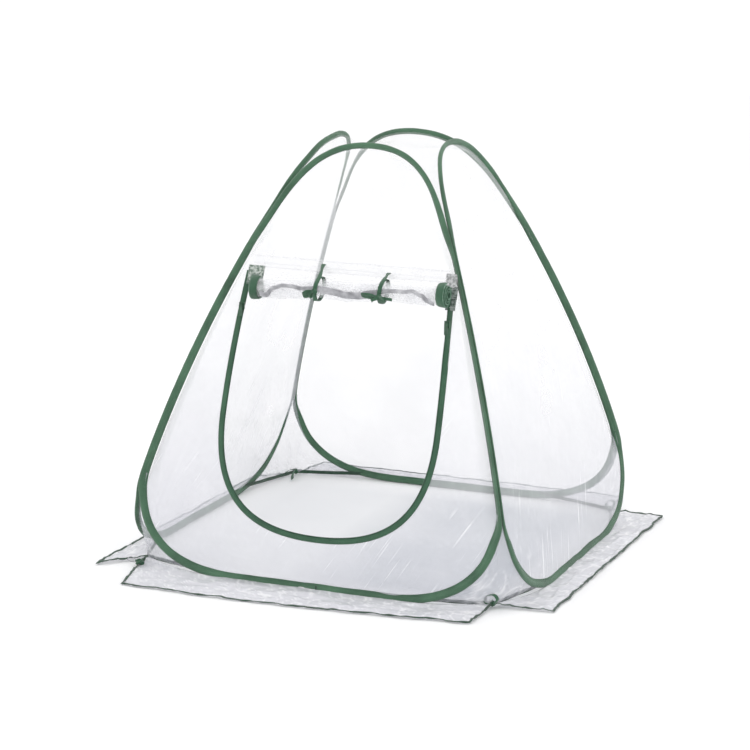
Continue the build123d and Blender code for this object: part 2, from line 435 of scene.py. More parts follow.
def metal(name, base, rough, scale):
    """Metal with fine drawing lines, dull patches and small wear."""
    s = Shader(name, Metallic=1.0)
    patch = s.spread(s.noise(scale, 4), 0.3, 0.7)
    s.set("Base Color", s.blend(patch, tuple(0.75 * c for c in base), base))
    s.set("Roughness", s.spread(s.noise(scale * 6, 3), 0.3, 0.7, rough, rough + 0.25))
    s.bump(s.noise(scale * 20, 2), 0.0002, 0.3)
    return s.material


def nylon(name, dark, light):
    """Moulded nylon or enamel with scuffs."""
    s = Shader(name, Roughness=0.38, Coat_Weight=0.15)
    scuff = s.spread(s.noise(120, 5, rough=0.7), 0.45, 0.7)
    s.set("Base Color", s.blend(scuff, dark, light))
    s.set("Roughness", s.spread(scuff, 0, 1, 0.3, 0.6))
    s.bump(s.noise(500, 2), 0.0002, 0.3)
    return s.material


sleeve_cloth = cloth("sleeve_cloth", (0.034, 0.092, 0.050), (0.080, 0.190, 0.108), 0.0011)
binding_cloth = cloth("binding_cloth", (0.010, 0.035, 0.019), (0.030, 0.085, 0.048), 0.0009)
zip_cloth = cloth("zip_cloth", (0.020, 0.075, 0.038), (0.050, 0.150, 0.080), 0.0008, True)
ribbon_cloth = cloth("ribbon_cloth", (0.016, 0.070, 0.034), (0.045, 0.150, 0.075), 0.0007, True)
thread_cloth = cloth("thread_cloth", (0.020, 0.070, 0.036), (0.055, 0.150, 0.085), 0.0005)
pale_thread = cloth("pale_thread", (0.50, 0.50, 0.53), (0.72, 0.72, 0.75), 0.0005)
gray_strip = cloth("gray_strip", (0.20, 0.20, 0.22), (0.66, 0.66, 0.69), 0.0008, True, blotch=90)
patch_cloth = cloth("patch_cloth", (0.03, 0.10, 0.055), (0.72, 0.76, 0.72), 0.0021, blotch=230)
pale_patch = cloth("pale_patch", (0.24, 0.25, 0.25), (0.86, 0.86, 0.87), 0.0021, blotch=230)
dark_patch = cloth("dark_patch", (0.02, 0.05, 0.035), (0.34, 0.38, 0.36), 0.0011, blotch=160)
low_tint, high_tint = (0.68, 0.68, 0.735), (0.94, 0.94, 0.955)
pale_tint = (0.80, 0.80, 0.85)
front_lean, side_lean = (0, radians(33), 0), (radians(-24), 0, 0)
front_clear = clear_film("front_clear", 0.50, low_tint, high_tint, 0.32, 0.0, front_lean, (0.006, 0.2))
wall_clear = clear_film("wall_clear", 0.50, low_tint, high_tint, 0.32, 0.0, side_lean, (0.2, 0.006))
back_clear = clear_film("back_clear", 0.30, low_tint, high_tint, 0.32, 0.0)
skirt_clear = clear_film("skirt_clear", 0.60, pale_tint, pale_tint, 0.16, 0.3)
gusset_clear = clear_film("gusset_clear", 0.42, low_tint, low_tint, 0.40, 0.3)
cap_clear = clear_film("cap_clear", 0.26, high_tint, high_tint, 0.25, 0.1)
roll_clear = clear_film("roll_clear", 0.20, high_tint, high_tint, 0.35, 0.3)
band_clear = clear_film("band_clear", 0.40, high_tint, high_tint, 0.30, 0.2)
steel = metal("steel", (0.46, 0.47, 0.49), 0.25, 60)
crimp = metal("crimp", (0.62, 0.62, 0.62), 0.35, 90)
enamel = nylon("enamel", (0.020, 0.065, 0.035), (0.060, 0.150, 0.085))
teeth_nylon = nylon("teeth_nylon", (0.018, 0.065, 0.034), (0.050, 0.140, 0.080))
# Painted highlight: a pale copy of the teeth nylon, for light catching the rolled coil's edge rings.
painted_highlight_nylon = nylon("painted_highlight_nylon", (0.09, 0.20, 0.13), (0.30, 0.44, 0.35))

# ---- camera, light and floor ----
camera_place = (1.6192, -4.1714, 1.2939)
back = Vector((0.35811, -0.90757, 0.21927)).normalized()
flat_right = up.cross(back).normalized()
flat_up = back.cross(flat_right)
roll_angle = 0.014533
view_right = flat_right * cos(roll_angle) + flat_up * sin(roll_angle)
view_up = -flat_right * sin(roll_angle) + flat_up * cos(roll_angle)
camera = bpy.data.objects.new("camera", bpy.data.cameras.new("camera"))
camera.data.lens = 128.39
camera.data.sensor_width = 36
camera.data.clip_end = 60
axes = Matrix((view_right, view_up, back)).transposed().to_4x4()
camera.matrix_world = Matrix.Translation(camera_place) @ axes
scene.collection.objects.link(camera)
scene.camera = camera

floor_radius = 7
floor_corners = 96
floor_points = []
for k in range(floor_corners):
    angle = 2 * pi * k / floor_corners
    floor_points.append((floor_radius * cos(angle), floor_radius * sin(angle), 0))
floor = new_mesh("floor", floor_points, [tuple(range(floor_corners))], smooth_faces=False)
paper = Shader("floor_paper", Roughness=0.9)
paper_white = paper.blend(paper.noise(3, 3), (0.93, 0.93, 0.94), (0.95, 0.95, 0.955))
# Painted shadow: a soft gray patch on the floor inside the tent's base, darker towards +X, stands in for
# the shade under the tent.
place = paper.node("SeparateXYZ", Vector=paper.node("TexCoord").outputs["Object"])
inside = [paper.spread(paper.math("ABSOLUTE", place.outputs[axis]), 0.26, 0.35, 1, 0) for axis in "XY"]
soft = paper.spread(paper.noise(5, 2), 0.3, 0.7, 0.72, 1.0)
shadow_depth = paper.spread(place.outputs["X"], -0.09, 0.07, 0.26, 1.0)
painted_shadow = paper.times(paper.times(*inside), paper.times(soft, shadow_depth))
paper.set("Base Color", paper.blend(painted_shadow, paper_white, (0.48, 0.51, 0.55)))
floor.data.materials.append(paper.material)

world = bpy.data.worlds.new("studio")
world.use_nodes = True
sky = world.node_tree.nodes["Background"].inputs
sky["Color"].default_value = (1.0, 1.0, 1.0, 1)
sky["Strength"].default_value = 1.08
scene.world = world
scene.view_settings.view_transform = "Standard"
scene.cycles.transparent_max_bounces = 48


def lamp(name, place, size, power):
    """Square lamp aimed at the middle of the greenhouse."""
    data = bpy.data.lights.new(name, "AREA")
    data.size = size
    data.energy = power
    obj = bpy.data.objects.new(name, data)
    aim = (Vector((0, 0, 0.3)) - Vector(place)).to_track_quat("-Z", "Y")
    obj.matrix_world = Matrix.Translation(place) @ aim.to_matrix().to_4x4()
    scene.collection.objects.link(obj)


lamp("key", (-2.2, -2.6, 3.2), 1.2, 16)
lamp("fill", (3.2, -1.6, 2.0), 1.4, 7)
lamp("rim", (0.6, 3.0, 2.6), 1.2, 10)

# ---- hoop outline ----
def seam_x(z):
    """A hoop's centreline beside the corner seam."""
    return corner_half(z) - seam_inset


seam_middle = (seam_low + seam_high) / 2
run_end, top_middle = (bottom_run_half, hoop_bottom), (0, hoop_top)


def seam_tangent(z, rise):
    """Point on the seam's tangent at height z, further up by rise."""
    return (seam_x(z) + rise * corner_slope(z), z + rise)


seam_start, seam_end = seam_tangent(seam_low, 0), seam_tangent(seam_high, 0)
outline_parts = [
    [(0, hoop_bottom), run_end],
    [run_end, (bottom_run_half + 0.158, hoop_bottom), seam_tangent(seam_low, -0.056), seam_start],
    [seam_start, seam_tangent(seam_low, seam_middle - seam_low), seam_end],
    [seam_end, seam_tangent(seam_high, 0.112), (0.104, hoop_top), top_middle],
]
rough_outline = [bezier(part, i / 50) for part in outline_parts for i in range(50)]
outline = even(rough_outline + [Vector(top_middle)], 260)


def outline_away(points, away):
    """The outline's right half moved outward in the face."""
    moved = []
    for p, along in zip(points, headings(points)):
        moved.append(Vector((max(p.x + away * along.y, 0), p.y - away * along.x)))
    return moved


def whole(half):
    """Close a right half from bottom to top with its mirror image."""
    return half + [Vector((-p.x, p.y)) for p in half[-2:0:-1]]


# ---- hoops ----
tube_half_width = 0.0049
tube_half_height = 0.0037
sewn_flatter = 0.0015
flap_root = 0.0045


def sleeve_profile(swell, sewn, flap):
    """Tube round the wire with a flat stitched edge; flatter where two sleeves are sewn together."""
    high = (tube_half_height - sewn_flatter * sewn) * min(swell, 1)
    angles = [radians(30 * k) for k in range(-5, 6)]
    tube = [(tube_half_width * cos(angle) * swell, high * sin(angle)) for angle in angles]
    edge = [(0.0015, 0.0012), (0.0045, 0.0009), (0.0049, 0), (0.0045, -0.0009), (0.0015, -0.0012)]
    return tube + [(-flap_root * min(swell, 1) - u * flap, v) for u, v in edge]


def sewn_share(z):
    """1 where neighbouring sleeves are sewn together, 0 where they part."""
    return smooth((z - 0.100) / 0.065) * (1 - smooth((z - 0.525) / 0.070))


def flap_share(z):
    """The stitched edge is tucked under the sleeve near the hoop's top."""
    return 1 - 0.80 * smooth((z - 0.50) / 0.10)


stitch_lift = 0.0011
sleeve_stitches = 720
wire_radius = 0.00175
wire_profile = [(wire_radius * cos(pi * k / 6), wire_radius * sin(pi * k / 6)) for k in range(12)]
# Where two sleeves are sewn together, each moves outward by sewn_shift, or to sewn_gap from the corner.
sewn_gap, sewn_shift = 0.0030, 0.0070
slim_share = 0.45
loop = whole(outline)
count = len(loop)
loop_headings = headings([on_face(p.x, p.y) for p in loop], True)
for k, side in enumerate(sides):
    points, across, shapes, stitches = [], [], [], []
    for p, heading in zip(loop, loop_headings):
        outward = heading.cross(face_normal(p.y)).normalized()
        sewn = sewn_share(p.y)
        apart = corner_half(p.y) - abs(p.x) - sewn_gap
        q = on_face(p.x, p.y) + outward * min(apart, sewn_shift) * sewn
        slack = 0.0010 * wobble(q, 0.05, 3 + k)
        low = 1 - smooth(p.y / 0.05)
        if side == "right":
            slack += 0.0045 * low * (0.4 + wobble(q, 0.085, 11)) * smooth(abs(p.x) / 0.03)
        slack = max(slack, -0.0003) if low > 0.5 else slack
        bow = 0.0009 * wobble(q, 0.04, 5 + k) * (1 - sewn)
        points.append(q + face_normal(p.y) * bow + up * slack * low)
        diagonal = Vector((1 if p.x > 0 else -1, -1, 0)).normalized()
        lean = 0.16 * wobble(q, 0.07, 8 + k) * (1 - sewn)
        tucked = 0.85 * smooth((p.y - 0.58) / 0.08)
        across.append(outward.lerp(diagonal, sewn) + face_normal(p.y) * (lean + tucked))
    outs = [a.cross(heading).normalized() for a, heading in zip(across, headings(points, True))]
    for q in points:
        # The back left pair is drawn in tight and thin.
        toward = {"back": 1, "left": -1}.get(side, 0) * q.x
        foot = 0.020 if side == "left" else 0.12
        tall = smooth((q.z - foot) / 0.08) * (1 - smooth((q.z - 0.62) / 0.05))
        slim = slim_share * tall * smooth(toward / 0.05)
        swell = (1 + 0.06 * wobble(q, 0.014, 20 + k)) * (1 - slim)
        shapes.append(sleeve_profile(swell, sewn_share(q.z), flap_share(q.z) * (1 - 1.5 * slim)))
    sleeve = swept(f"{side}_sleeve", points, across, shapes, True)
    finish_piece(sleeve, sleeve_cloth, f"{side}_panel", [f"{side}_hoop_sleeve"], k)
    wire = swept(f"{side}_wire", points, across, wire_profile, True)
    finish_piece(wire, steel, f"{side}_panel", [f"{side}_hoop_wire"], k)
    for share in (0.20, 0.86667):
        for face in (1, -1):
            lifted = []
            for q, a, out, shape in zip(points, across, outs, shapes):
                near, far = shape[11][0], shape[12][0]
                inset = near + (far - near) * share
                lifted.append(q + a.normalized() * inset + out * face * stitch_lift)
            for i, (q, along) in enumerate(spaced(lifted + lifted[:1], sleeve_stitches)):
                stitches.append((q, along, outs[int(i * count / sleeve_stitches)] * face))
    thread = beads(f"{side}_sleeve_stitching", stitches, (0.0011, 0.00026, 0.00026), 4)
    finish_piece(thread, thread_cloth, f"{side}_panel", turn=k)


# A short band round the bottom of the front sleeve.
splice_x, splice_lean, splice_out, splice_high = 0.012, 0.003, 0.0042, 0.0056
splice = []
for i in range(25):
    angle = 2 * pi * i / 24
    z = hoop_bottom + 0.0005 + splice_high * sin(angle)
    splice.append(on_face(splice_x + splice_lean * cos(angle), z, splice_out * cos(angle)))
splice_band = swept("front_sleeve_splice", splice, [Vector((1, 0, 0.3))] * 25, tape(0.0022, 0.0010))
finish_piece(splice_band, binding_cloth, "front_panel")

# ---- walls ----
def door_line(grow, top, count):
    """The door's U from its top left down round to its top right, moved outward."""
    wide, narrow = door_half_width + grow, door_half_width_top + grow
    low = door_bottom - grow
    turn = [(0, low), (0.118, low), (wide, 0.130 - grow), (wide, door_widest)]
    rise = [(wide, door_widest), (wide, door_widest + 0.09), (narrow, top)]
    half = [bezier(turn, i / 40) for i in range(40)]
    half += [bezier(rise, i / 40) for i in range(41)]
    line = [Vector((-p.x, p.y)) for p in reversed(half)] + half[1:]
    return [Vector((p.x + door_centre, p.y)) for p in even(line, count)]


def wall_crumple(seed, strong=1.0):
    """Shallow slack, fold lines from storage and creases fanning from the lower corners."""

    def crumple(p):
        corner = Vector((0.30 if p.x > 0 else -0.30, p.y, 0.06))
        reach = p - corner
        angle = atan2(reach.z, abs(reach.x) + 1e-6)
        fan = 1 - smooth((reach.length - 0.05) / 0.22)
        ray = max(0.0, 1 - 6 * abs(wobble((angle * 0.9, seed, reach.length * 0.5), 0.13, seed)))
        low = 1 - smooth((p.z - 0.06) / 0.28)
        fold = ridge((p.x * 0.5 + p.z * 0.35, p.y, p.z), 0.055, seed + 4)
        broad = 0.0024 * wobble(p, 0.13, seed) + 0.0003 * wobble(p, 0.035, seed + 2)
        move = broad + min(strong, 1.0) * (0.0009 * fan * ray + 0.0005 * low * fold)
        mark = strong * (0.60 * fan * ray**3 + 0.14 * low * fold**3 + 0.04 * fold**4)
        return move, min(mark, 1.0)

    return crumple


def star(line, count=300, middle=(door_centre, 0.29)):
    """The line's points nearest to evenly spread directions from the middle."""
    ways = [atan2(p.y - middle[1], p.x - middle[0]) for p in line]
    chosen = []
    for i in range(count):
        angle = -pi + 2 * pi * i / count
        gaps = [abs((way - angle + pi) % (2 * pi) - pi) for way in ways]
        chosen.append(line[gaps.index(min(gaps))])
    return chosen


wall_cut = (0.64, 0.74)
inner_edge = outline_away(outline, -0.006)
inner_edge = [Vector((p.x + 0.0034 * sewn_share(p.y), p.y)) for p in inner_edge]
tuck_depth = 0.0085
for k, side in enumerate(sides):
    if side == "front":
        outer = whole(even(inner_edge, 130))
        hole_top = hinge_height + 0.001
        hole = door_line(0.004, hole_top, 400)
        hole += [Vector((x, hole_top)) for x in (0.15, 0.1, 0.05, 0, -0.05, -0.1, -0.15)]
        ring_in = star(even(hole + hole[:1], 1500))
        ring_out = star(even(outer + outer[:1], 1500))
        rows = []
        for j in range(23):
            row = [a.lerp(b, j / 22) for a, b in zip(ring_in, ring_out)]
            near_edge = smooth((j - 17) / 5)
            rows.append([on_face(p.x, p.y, -tuck_depth * near_edge * sewn_share(p.y)) for p in row])
        wall = grid("front_wall", rows, True, wall_crumple(1.7, 0.35), 2)
    else:
        edge = [Vector((max(p.x, 0.004), p.y)) for p in even(inner_edge, 90)]
        rows = []
        for p, above in zip(edge, edge[1:] + [None]):
            if above and above.y - p.y <= 1e-4:
                continue
            row = []
            for j in range(73):
                u = j / 36 - 1
                near_edge = smooth((abs(u) - 0.87) / 0.13)
                row.append(on_face(p.x * u, p.y, -tuck_depth * near_edge * sewn_share(p.y)))
            rows.append(row)
        strong = {"left": 1.1, "right": 0.6, "back": 0.15}[side]
        wall = grid(f"{side}_wall", rows, False, wall_crumple(1.7 + 3.1 * k, strong), 2)
    haze = {"front": front_clear, "back": back_clear}.get(side, wall_clear)
    finish_piece(wall, haze, f"{side}_panel", [f"{side}_wall_film"], k)
    declare(wall, wall_cut)

# ---- zip round the door ----
zip_tape_width = 0.0105
tooth_inset = 0.0042
zip_line = door_line(0, hinge_height - 0.006, 300)
zip_points = [on_face(p.x, p.y, 0.0006) for p in zip_line]
zip_across = []
for p, ahead in zip(zip_line, headings(zip_points)):
    edge_on = smooth((p.y - 0.34) / 0.09) if p.x > door_centre else 0.0
    flat = ahead.cross(face_normal(p.y)).normalized()
    zip_across.append(flat * (1 - 0.45 * edge_on) - face_normal(p.y) * 0.75 * edge_on)
zip_tape = swept("door_zip_tape", zip_points, zip_across, tape(zip_tape_width, 0.0013, 0.0002))
finish_piece(zip_tape, zip_cloth, "front_panel", ["zip_tape"])
tooth_line = []
for p, a in zip(zip_points, zip_across):
    tooth_line.append(p - a.normalized() * tooth_inset + face_normal(p.z) * 0.0009)
teeth = []
for i, (p, along) in enumerate(spaced(tooth_line, 760)):
    out = face_normal(p.z)
    teeth.append((p, along.cross(out) * (1 if i % 2 else -1), out))
tooth_row = beads("door_zip_teeth", teeth, (0.0016, 0.0005, 0.0007), 6)
finish_piece(tooth_row, teeth_nylon, "front_panel", ["zip_teeth"])
zip_stitches = []
for row in (0.0038, 0.0006):
    path = [p + a.normalized() * row for p, a in zip(zip_points, zip_across)]
    for p, along in spaced(path, 380):
        out = face_normal(p.z)
        zip_stitches.append((p + out * 0.0009, along, out))
zip_thread = beads("door_zip_stitching", zip_stitches, (0.0011, 0.00028, 0.00028), 4)
finish_piece(zip_thread, thread_cloth, "front_panel")

# ---- seam above the door ----
band_length, band_height = 0.348, 0.022


def band_sag(x, z):
    return 0.0010 * wobble((x, 0, z), 0.03, 6)


def band_point(s, t):
    x = door_centre + band_length * (s - 0.5)
    z = 0.495 + band_height * t
    return on_face(x, z + band_sag(x, z), 0.0011 + 0.0006 * wobble((x, 1, z), 0.012, 7))


band = grid("door_seam", lattice(8, 120, band_point), False, lambda p: (0.0, 0.35 * ridge(p, 0.02, 9)))
finish_piece(band, band_clear, "front_panel", ["door_seam_band"])
declare(band, (band_length, band_height))
band_stitches = []
for z in (0.4975, 0.5035, 0.5145):
    for i in range(116):
        x = door_centre - 0.172 + 0.344 * i / 115
        band_stitches.append((on_face(x, z + band_sag(x, z), 0.0018), Vector((1, 0, 0)), face_normal(z)))
band_thread = beads("door_seam_stitching", band_stitches, (0.0010, 0.0003, 0.0003), 4)
finish_piece(band_thread, pale_thread, "front_panel")

# Patches over the zip's ends: side, centre in x, bottom, half width, height, cloth.
patches = [
    ("left", -0.1600, 0.4690, 0.0140, 0.0300, patch_cloth),
    ("right", 0.1815, 0.4900, 0.0100, 0.0210, pale_patch),
    ("right_strip", 0.1860, 0.4560, 0.0085, 0.0360, dark_patch),
]
for name, x0, patch_low, patch_half, patch_height, made in patches:

    def patch_point(s, t):
        z = patch_low + patch_height * t
        rough = 0.0022 + 0.0011 * wobble((x0 + 9 * s, z * 90, 13 * t), 1.7, 4)
        edge = 0.0006 * wobble((z * 60, 9 * s, 0), 0.7, 12)
        return on_face(x0 + patch_half * (2 * s - 1) + edge, z, rough)

    patch = grid(f"zip_patch_{name}", lattice(13, 9, patch_point))
    solid = patch.modifiers.new("thickness", "SOLIDIFY")
    solid.thickness = 0.0012
    nodes = [f"zip_end_patch_{name}"] if "strip" not in name else ()
    finish_piece(patch, made, "front_panel", nodes)
    patch_stitches = []
    for share in (0.12, 0.5, 0.88):
        z = patch_low + patch_height * share
        for i in range(10):
            x = x0 + 0.9 * patch_half * (2 * i / 9 - 1)
            patch_stitches.append((on_face(x, z, 0.0036), Vector((1, 0, 0)), face_normal(z)))
    patch_thread = beads(f"zip_patch_stitching_{name}", patch_stitches, (0.0009, 0.0003, 0.0003), 4)
    finish_piece(patch_thread, pale_thread, "front_panel")

# ---- rolled door ----
roll_box = list(zip(*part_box("door_roll_film")))
roll_centre, axis_y, axis_z = [(low + high) / 2 for low, high in roll_box]
roll_half_length, _, roll_radius = [(high - low) / 2 for low, high in roll_box]
tie_places = [sum(corner[0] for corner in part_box(f"door_tie_{name}")) / 2 for name in ("left", "right")]
hinge_y = -(corner_half(hinge_height) + 0.003)


def roll_line(x):
    """The roll's centre line sags a little between its ties and climbs to the right."""
    tie = min(abs(x - place) for place in tie_places)
    return 0.0015 * cos(pi * min(tie / 0.056, 1)) + 0.0015 + 0.0070 * (x - roll_centre) / roll_half_length


def roll_point(x, radius, angle):
    """Point of the roll: angle 0 is outward, a quarter turn is up."""
    return Vector((x, axis_y - radius * cos(angle), axis_z + roll_line(x) + radius * sin(angle)))


roll_turns = 4.0


def rolled(s, t):
    """The roll's film from its inner end (t = 0) to where it leaves the roll (t = 1)."""
    x = roll_centre + roll_half_length * (2 * s - 1)
    angle = radians(115) - 2 * pi * roll_turns * (1 - t)
    radius = 0.0055 + (roll_radius - 0.0065) * t
    pinch = 1 - smooth(min(abs(x - place) for place in tie_places) / 0.03)
    rough = wobble((x * 1.1, radius * sin(angle) * 1.6, radius * cos(angle) * 1.6), 0.016, 14)
    radius += 0.0016 * rough * t - 0.0020 * pinch * t
    radius += 0.0012 * t * ridge((x, angle * 0.012, t * 0.05), 0.02, 15)
    return roll_point(x, radius, angle)


def hung(s, t):
    """The film between the roll and the seam it hangs from."""
    last = rolled(s, 1)
    end = Vector((last.x, hinge_y - 0.0002, hinge_height))
    return last.lerp(end, t) + Vector((0, -0.0015 * sin(pi * t), 0))


def roll_marks(p):
    lines = ridge((p.x * 0.35, p.y, p.z), 0.010, 16) * 0.7 + ridge(p, 0.03, 17) * 0.6
    return 0.0, min(lines, 1.0)


roll_rows = lattice(130, 84, rolled) + lattice(7, 84, hung)[1:]
roll = grid("door_roll", roll_rows, False, roll_marks)
finish_piece(roll, roll_clear, "door_roll", ["door_roll_film"])
door_cut = (0.376, 0.42)
declare(roll, door_cut)

# The zip's strip on the roll: x from the roll's middle, angle round it in radians.
strip_stops = [
    (-0.150, -0.35), (-0.140, -0.50), (-0.126, 0.25), (-0.110, 0.52), (-0.095, 0.46), (-0.075, 0.20),
    (-0.050, 0.16), (-0.022, 0.02), (0.005, -0.16), (0.025, -0.22), (0.050, 0.0), (0.075, 0.26),
    (0.100, 0.34), (0.115, 0.46), (0.132, 0.10), (0.142, -0.40), (0.152, -0.80),
]
strip_points, strip_across = [], []
for i in range(161):
    s = i / 160 * (len(strip_stops) - 1)
    k = min(int(s), len(strip_stops) - 2)
    a, b = strip_stops[k], strip_stops[k + 1]
    share = smooth(s - k)
    x = a[0] + (b[0] - a[0]) * (s - k) + roll_centre
    lift = a[1] + (b[1] - a[1]) * share
    strip_points.append(roll_point(x, roll_radius - 0.0016, lift))
for p, ahead in zip(strip_points, headings(strip_points)):
    outward = Vector((0, p.y - axis_y, p.z - axis_z - roll_line(p.x)))
    lean = 0.5 * wobble(p, 0.03, 18)
    strip_across.append(outward.cross(ahead).normalized() + outward.normalized() * lean)


def strip_section(t):
    """The strip spreads out flat between the ties and at its ends."""
    middle = smooth(1.6 - abs(t - 0.50) / 0.12)
    left_end, right_end = 1 - smooth(t / 0.14), smooth((t - 0.86) / 0.10)
    return tape(0.0062 + 0.0062 * middle + 0.0050 * left_end + 0.0030 * right_end, 0.0010)


strip_sections = [strip_section(i / len(strip_points)) for i in range(len(strip_points))]
strip = swept("rolled_zip_strip", strip_points, strip_across, strip_sections)
finish_piece(strip, gray_strip, "door_roll")

coil_turns = 3.6
coil_steps = 260
for name, sign in (("left", -1), ("right", 1)):
    inner_x = roll_centre + sign * (roll_half_length + 0.001)
    centre = roll_point(inner_x, 0, 0)
    points, across, edge_places = [], [], []
    for i in range(coil_steps + 1):
        t = i / coil_steps
        angle = radians(95) - 2 * pi * coil_turns * (1 - t)
        radius = 0.0048 + 0.0150 * t + 0.0004 * wobble((t * 9, sign, 0), 0.6, 19)
        wander = 0.0010 * wobble((t * coil_turns, sign, 3), 0.9, 21) - 0.0042 * (t - 0.6)
        x = inner_x + sign * (0.0062 + wander)
        points.append(Vector((x, centre.y - radius * cos(angle), centre.z + radius * sin(angle))))
        across.append(Vector((sign, 0, 0)) + Vector((0, -cos(angle), sin(angle))) * 0.10)
    coil = swept(f"door_zip_coil_{name}", points, across, tape(0.0125, 0.0021, 0.0002))
    finish_piece(coil, zip_cloth, "door_roll", [f"zip_coil_{name}"])
    out = Vector((sign, 0, 0))
    for p, along in spaced([p + out * 0.0066 for p in points], 330):
        edge_places.append((p, along.cross(out), out))
    # The coil's edge teeth carry the pale painted highlight.
    coil_teeth = beads(f"door_zip_coil_teeth_{name}", edge_places, (0.0013, 0.0005, 0.0009), 6)
    finish_piece(coil_teeth, painted_highlight_nylon, "door_roll")


# ---- ribbon ties ----
def ribbon(name, stops, across, width, body, nodes=(), count=40, thick=0.0009, gathered=0.0):
    """Ribbon through the given points; across is one direction or one for each stop.

    Gathered ribbon is narrow at both ends.
    """
    line = []
    stops = [Vector(p) for p in stops]
    for k in range(len(stops) - 1):
        p0, p1 = stops[max(k - 1, 0)], stops[k]
        p2, p3 = stops[k + 1], stops[min(k + 2, len(stops) - 1)]
        for i in range(12):
            t = i / 12
            a, b = 2 * p1, (p2 - p0) * t
            c, d = (2 * p0 - 5 * p1 + 4 * p2 - p3) * t**2, (3 * p1 - p0 - 3 * p2 + p3) * t**3
            line.append((a + b + c + d) / 2)
    line.append(stops[-1])
    line = even(line, count)
    if not hasattr(across[0], "__len__"):
        across = [across] * len(stops)
    ways = [Vector(way) for way in across]
    turned, sections = [], []
    for i in range(count + 1):
        s = i / count * (len(ways) - 1)
        k = min(int(s), len(ways) - 2)
        turned.append(ways[k].lerp(ways[k + 1], s - k))
        narrower = gathered * (1 - sin(pi * i / (count + 1)) ** 0.5)
        sections.append(tape(width * (1 - narrower), thick, 0.0001))
    piece = swept(name, line, turned, sections)
    return finish_piece(piece, ribbon_cloth, body, nodes)


def knot(name, centre, size, body):
    """A tied knot: a lump with ribbon folds wrapped over it."""
    verts, faces, uvs = [], [], []
    around, rings = 28, 16
    for i in range(rings + 1):
        lat = pi * (i + 0.04) / (rings + 0.08)
        for j in range(around):
            lon = 2 * pi * j / around
            n = Vector((sin(lat) * cos(lon), sin(lat) * sin(lon), cos(lat)))
            fold = 1 + 0.16 * sin(3 * lon + 4 * lat) + 0.12 * wobble(n, 0.6, 22)
            verts.append(Vector(centre) + Vector((n.x * size[0], n.y * size[1], n.z * size[2])) * fold)
            uvs.append((0.02 * j / around, 0.01 * i / rings))
    for i in range(rings):
        for j in range(around):
            k = (j + 1) % around
            faces.append((i * around + j, (i + 1) * around + j, (i + 1) * around + k, i * around + k))
    faces.append(tuple(reversed(range(around))))
    faces.append(tuple(range(rings * around, (rings + 1) * around)))
    piece = new_mesh(name, verts, [tuple(reversed(f)) for f in faces], uvs)
    return finish_piece(piece, ribbon_cloth, body)


# Loops and tails of each bow in millimetres: (x, z) of the far end from the knot, and a loop's width.
bows = {
    "left": ([(-18, -6, 9.6), (-7, -8, 5)], [(1, -15)]),
    "right": ([(-28.5, 2.5, 6.6), (12.5, -4, 7.4)], [(-11, -8), (21, -3)]),
}
tie_width = 0.0072
tie_lean = 0.0040
# Stops of a bow's loop: share of its reach, distance outward, rise.
bow_path = [
    (0.08, 0.0022, 0), (0.35, 0.0062, 0.0022), (0.75, 0.0078, 0.0020),
    (1.0, 0.0050, -0.0006), (0.8, 0.0020, -0.0032), (0.4, 0.0012, -0.0030),
]
# Stops of a bow's tail: share of its x, distance outward, share of its z.
tail_path = [(0, 0.0010, 0), (0.4, 0.0036, 0.35), (1, 0.0026, 0.75), (1.1, 0.0014, 1)]
for name, x in zip(("left", "right"), tie_places):
    wrap = []
    for i in range(25):
        angle = radians(100 - 352 * i / 24)
        radius = roll_radius + 0.0008 + 0.0004 * sin(3 * angle)
        wrap.append(roll_point(x + tie_lean * (0.5 * sin(angle) - 0.5), radius, angle))
    ribbon(f"door_tie_{name}_band", wrap, (1, 0, 0.02), tie_width, "door_roll", [f"door_tie_{name}"], 90)
    top = roll_point(x, roll_radius + 0.0010, radians(70))
    seam_shift, seam_rise = (-0.0105, 0.013) if name == "left" else (-0.0070, 0.008)
    seam_point = on_face(x + seam_shift, hinge_height + seam_rise, 0.0032)
    riser = [
        roll_point(x - 0.4 * tie_lean, roll_radius + 0.0014, radians(25)),
        top,
        top.lerp(seam_point, 0.5) + Vector((0.001, -0.002, 0.001)),
        seam_point,
    ]
    riser_across = [(1, 0, 0), (1, 0, 0.1), (0.8, -0.4, 0.3), (1, 0.2, 0)]
    tie_riser = ribbon(f"door_tie_{name}_riser", riser, riser_across, tie_width, "", count=30)
    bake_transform(tie_riser)
    knot_angle = radians(-2 if name == "left" else -14)
    front = roll_point(x - 0.4 * tie_lean, roll_radius + 0.0032, knot_angle)
    knot(f"door_tie_{name}_knot", front, (0.0044, 0.0032, 0.0046), "door_roll")
    bow_loops, tails = bows[name]
    for part, measures in enumerate(bow_loops):
        reach, drop, width = [v / 1000 for v in measures]
        stops = [front + Vector((u * reach, -out, u * drop + rise)) for u, out, rise in bow_path]
        stops.append(front + Vector((0.05 * reach, -0.0008, 0)))
        bow_across = (-0.25 * drop / reach, -0.55, 1)
        ribbon(f"door_tie_{name}_bow_{part}", stops, bow_across, width, "door_roll", count=44, gathered=0.5)
    for part, measures in enumerate(tails):
        tail_x, tail_z = [v / 1000 for v in measures]
        stops = [front + Vector((tail_x * u, -out, tail_z * v)) for u, out, v in tail_path]
        tail_across = Vector((-tail_z, 0, tail_x)).normalized() + Vector((0, -0.3, 0))
        ribbon(f"door_tie_{name}_tail_{part}", stops, tuple(tail_across), 0.0055, "door_roll", count=20)

